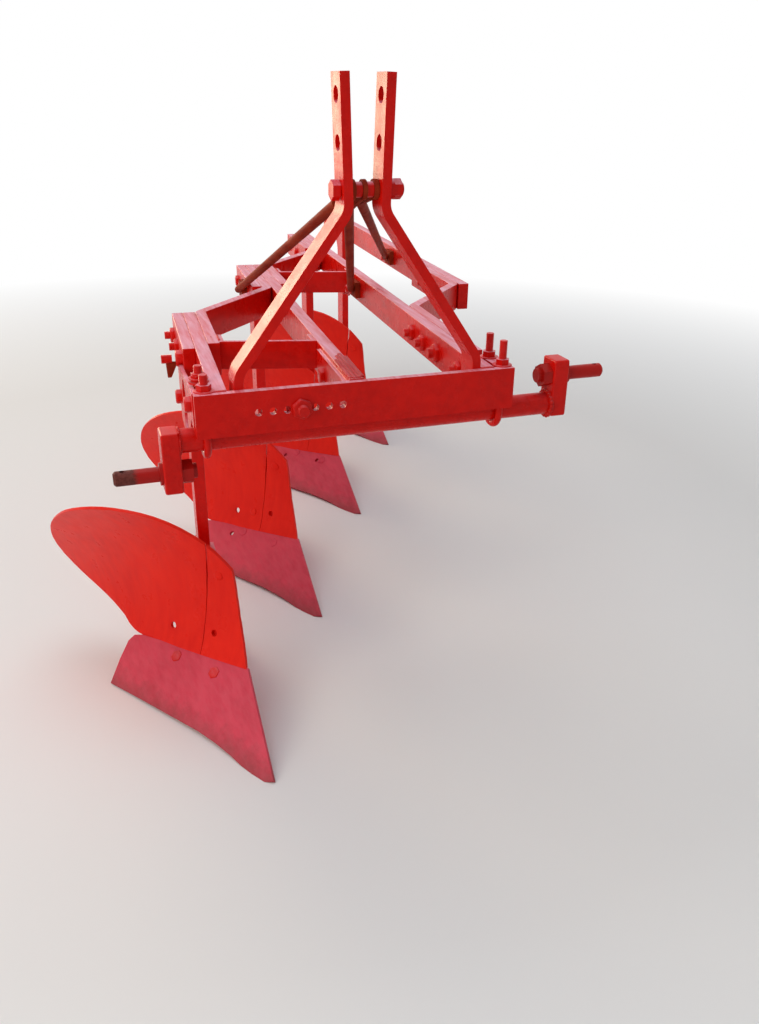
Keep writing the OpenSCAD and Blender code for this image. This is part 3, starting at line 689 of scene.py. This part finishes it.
# Right faces of the same stacks, where the bolts come out
FAR_SIDES = {"leg_1": -261.9, "leg_2": -8.4, "leg_3": 230.1, "leg_4": 474.6, "bar_3": 474.6,
             "beam_3": BEAM_U[2] + HALF_BEAM}
for name, u, v, z, spin, kind, size, tall in FRAME_BOLTS:
    near = nut_on_stud if kind == "nut" else hex_head
    fitted(near, name, along(u, v, z), LEFT, spin, size, tall)
    carrier = name.split("_bolt")[0]
    if carrier in FAR_SIDES:
        low = carrier == "leg_4"
        far = hex_head if kind == "nut" or low else nut_on_stud
        fitted(far, name + "_far", along(FAR_SIDES[carrier], v, z), RIGHT, spin + 7, tall=0.55 if low else 1)
fitted(nut_on_stud, "row_bolt", place(-157, 0, 767), FRONT, 8, 1.4)
fitted(hex_head, "side_plate_bolt_rear", along(SIDE_PLATE_FACE, 340, 694), LEFT, 11, 1.1, 1.35)
fitted(hex_head, "side_plate_bolt_front", along(SIDE_PLATE_FACE, 45, 772), LEFT, 3, 1.1, 1.3)

# The stud on the first leg's head, with the tab that hangs on it
STUD_U, STUD_V, STUD_Z = -362, 352, 773
fitted(hex_head, "leg_1_stud_nut", along(LEG_1_FACE, STUD_V, STUD_Z), LEFT, 16, 1.25, 1.3)
screwed("leg_1_stud", along(STUD_U, STUD_V, STUD_Z), LEFT, radius=0.0086, length=0.022)

# Bolts through the middle and right braces' feet, sunk 1 mm into the rods' left sides
ROD_SIDE = 29
for word, face_u, v in (("middle", BEAM_3_FACE, 985), ("right", BEAM_U[3] - HALF_BEAM, 1480)):
    fitted(hex_head, f"brace_{word}_bolt", along(face_u - ROD_SIDE, v, 772), LEFT, 7, 0.8)


def hanging_tab():
    """The small plate under the stud's nut, narrower at its lower end."""
    bpy.ops.object.select_all(action="DESELECT")
    bpy.ops.mesh.primitive_cube_add(size=1, location=(0, 0, 0))
    piece = bpy.context.object
    pick_faces(piece, lambda c, n: True)
    bpy.ops.transform.resize(value=(0.026, 0.004, 0.034))
    done_shaping()
    pick_faces(piece, lambda c, n: n.z < -0.9)
    bpy.ops.transform.resize(value=(0.3, 1, 1))
    bpy.ops.transform.translate(value=(-0.007, 0, 0))
    done_shaping()
    soften(piece, 0.001)
    own(piece, "leg_1_tab", rod_enamel)
    settle(piece, along(STUD_U, STUD_V, 750), Matrix.Rotation(-SKEW, 3, "Z"), (1, 1, 1), "frame")


hanging_tab()

# Heads and open holes on the plough bodies, each place measured from its body's share point
SHARE_HEADS = (
    ((-149.6, 384.7, 85.8), (-73.0, 288.6, 91.2)),
    ((-140.6, 383.7, 91.5), (-66.5, 286.4, 94.5)),
    ((-129.4, 373.6, 94.2), (-57.7, 276.8, 95.9)),
    ((-149.6, 384.7, 85.8), (-73.0, 288.6, 91.2)),
)
SHARE_HOLES = {
    "share_2": (1, ((-172.1, 405.3, 80.5),)),
    "share_3": (2, ((-166.8, 397.0, 80.1), (-73.0, 290.4, 92.0))),
}
SHIN_HEAD = (-42.7, 342.1, 306)
MOLDBOARD_HEAD = (-107, 389.5, 149)
SUNK = 0.002
for number in range(4):
    body = str(number + 1)
    spin = 13 * number + 5
    for word, where in zip(("outer", "inner"), SHARE_HEADS[number]):
        at, facing = seat("share_" + body, on_body(number, *where))
        finish = bolt_enamel if number in (0, 3) else share_enamel
        fitted(hex_head, f"share_{body}_{word}_bolt", at - facing * SUNK, facing, spin, 1.05, 0.5, finish)
    at, facing = seat("shin_" + body, on_body(number, *SHIN_HEAD))
    fitted(low_head, f"shin_{body}_bolt", at, facing, 9 * number, finish=board_enamel)
    if number in (1, 2):
        at, facing = seat("moldboard_" + body, on_body(number, *MOLDBOARD_HEAD))
        fitted(low_head, f"moldboard_{body}_bolt", at, facing, 9 * number, finish=board_enamel)
share_holes = {node: [seat(node, on_body(number, *where)) for where in places]
               for node, (number, places) in SHARE_HOLES.items()}

# Washers under the clamps' nuts, and threads over their studs: side, place along the crossbar, stud's top
CLAMPS = (("left", -325.5, 837), ("right", 252, 855))
CLAMP_ROWS = (("front", 25), ("rear", 85))
THREAD_FROM = 820
collar = washer_ring()
for name, x, top in CLAMPS:
    for word, y in CLAMP_ROWS:
        fitted(collar, f"clamp_{name}_{word}_washer", place(x, y, FRAME_TOP), UP, 0, 1.02, 1.35)
fitted(hex_head, "clamp_left_rear_spare_nut", place(-325.5, 85, 819), UP, 12, 0.98, 0.62)
for name, x, top in CLAMPS:
    for word, y in CLAMP_ROWS:
        at = place(x, y, THREAD_FROM)
        screwed(f"clamp_{name}_{word}_thread", at, UP, 0.0070, (top - THREAD_FROM + 1) / 1000)

# Welds round the cross shaft, against the inner faces of its two arms
SHAFT_R = 0.0225
for name, outward, width in (("left", -1, 0.9), ("right", 1, 1.7)):
    at = place(0, SHAFT_Y, SHAFT_Z)
    at.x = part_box("crank_arm_" + name)[1 if outward < 0 else 0][0]
    ring_weld(f"shaft_weld_{name}", at, Vector((-outward, 0, 0)), SHAFT_R, width)

# Welds of the beams and the mast's feet to the crossbar's rear face
SIDES = (("left", -1), ("right", 1))
WELD_Y = 16
WELD_LOW = 742
WELD_HIGH = 804
HALF_TOP_WELD = 13
MAST_FOOT_X = -36.5
MAST_HALF_FOOT = 229
FOOT_SIDE = 9.3
# How far a skewed beam has moved over by the crossbar's rear face
DRIFT = 0.9


def corner_weld(name, x, outward):
    """An upright bead between the crossbar's rear face and the side of what stands on it."""
    weld(name, place(x, WELD_Y, WELD_LOW), place(x, WELD_Y, WELD_HIGH), outward, 0.8)


for number, u in enumerate(BEAM_U[:3]):
    for word, side in SIDES:
        if number == 0 and side < 0:
            continue
        x = (u + side * (HALF_BEAM + 1)) / math.cos(SKEW) + DRIFT
        corner_weld(f"beam_{number + 1}_weld_{word}", x, Vector((side, 1, 0)))
    x = u / math.cos(SKEW) + DRIFT
    start, end = (place(x + side * HALF_TOP_WELD, WELD_Y, FRAME_TOP) for _, side in SIDES)
    weld(f"beam_{number + 1}_weld_top", start, end, UP, 0.8)
for word, side in SIDES:
    foot = MAST_FOOT_X + side * MAST_HALF_FOOT
    for face, dx in (("outer", side * FOOT_SIDE), ("inner", -side * FOOT_SIDE)):
        corner_weld(f"mast_{word}_weld_{face}", foot + dx, Vector((dx, 8, 0)))

# Beads side by side on the second beam's front end: u, v at the start, v at the end
SEAM_Z = 806.5
BEAM_2_SEAMS = ((-58, 24, 150), (-50, 22, 176), (-42, 24, 190), (-35, 30, 170))
for number, (u, v1, v2) in enumerate(BEAM_2_SEAMS):
    weld(f"beam_2_seam_{number + 1}", along(u, v1, SEAM_Z), along(u + 1.5, v2, SEAM_Z), UP)

# Beads on the spacers' flanges: beam, v of the flange's start
BAR_T = 25
FLANGE_LOW = 747
for number, (beam, v) in enumerate(((0, 339), (1, 1089))):
    flange_u = BEAM_U[beam] + HALF_BEAM + BAR_T + 1
    for word, z in (("top", FRAME_TOP - 1), ("low", FLANGE_LOW - 1)):
        start, end = along(flange_u, v + 12, z), along(flange_u, v + 56, z)
        weld(f"spacer_{number + 1}_weld_{word}", start, end, RIGHT, 0.7)

for pattern in (hex_head, nut_on_stud, low_head, collar, ripple):
    bpy.data.objects.remove(pattern)

# Way in which the boards' lower edges move to lap over the shares, and how far
DOWN_THE_BOARD = Vector((-0.33, -0.33, -0.88))
LAP = 0.005


# The forged and cut pieces, each with its edges rounded
def rounded_copy(node, width, flat=0.5, angle=35.0, smooth=38.0):
    """A merged copy of a node with rounded edges, which stands for it."""
    alone(cad[node])
    bpy.ops.object.duplicate()
    piece = bpy.context.object
    for key in list(piece.keys()):
        del piece[key]
    bpy.ops.object.parent_clear(type="CLEAR_KEEP_TRANSFORM")
    finish, slot = finish_for(node)
    own(piece, node + "_worked", finish)
    bpy.ops.object.mode_set(mode="EDIT")
    bpy.ops.mesh.select_all(action="SELECT")
    bpy.ops.mesh.remove_doubles(threshold=0.00002)
    if flat:
        bpy.ops.mesh.dissolve_limited(angle_limit=math.radians(flat))
    done_shaping()
    if node.startswith(("moldboard", "shin")):
        # The lower edge laps over the share, and the small faces of the bolt holes stay.
        pick_faces(piece, lambda c, n: n.dot(DOWN_THE_BOARD) > 0.85 and c.z < 0.2, 0.00002)
        bpy.ops.transform.translate(value=DOWN_THE_BOARD * LAP)
        done_shaping()
    for at, facing in share_holes.get(node, ()):
        open_hole(piece, at, facing)
    if node.startswith("crank_arm"):
        round_long_edges(piece, 0.004, 3)
    soften(piece, width, angle=angle, smooth=smooth)
    flatten_shading(piece)
    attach(piece, "crank" if node in CRANK else "frame")
    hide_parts(node)


# Width of the rounding in metres, and the nodes that get it
ROUNDED = [
    (0.0015, ["crossbar"]),
    (0.0012, ["side_plate"]),
    (0.0010, ["clamp_seats"]),
    (0.0008, ["mast_bolt"]),
    (0.0010, ["cross_shaft", "link_pin_left", "link_pin_right"]),
    (0.0018, ["mast_left", "mast_right", "beam_1", "beam_2", "beam_3", "beam_4"]),
    (0.0018, ["link_bar_1", "link_bar_2", "link_bar_3"]),
    (0.0014, ["spacer_1", "spacer_2"]),
    (0.0018, ["leg_1", "leg_2", "leg_3", "leg_4"]),
    (0.0010, ["brace_left", "brace_middle", "brace_right"]),
    (0.0008, ["u_bolts"]),
    (0.0014, ["share_1", "share_2", "share_3", "share_4"]),
]
# Nodes whose flat faces stay in triangles, because rounding folds some of their merged faces over
KEPT_TRIANGLES = ("beam_2", "brace_right")
for width, nodes in ROUNDED:
    for node in nodes:
        rounded_copy(node, width, flat=0 if node in KEPT_TRIANGLES else 0.5)
for node in ("crank_arm_left", "crank_arm_right"):
    rounded_copy(node, 0.0008)
for number in range(1, 5):
    rounded_copy(f"moldboard_{number}", 0.0010, flat=0, angle=50, smooth=30)
    rounded_copy(f"shin_{number}", 0.0012, flat=0, angle=50, smooth=30)
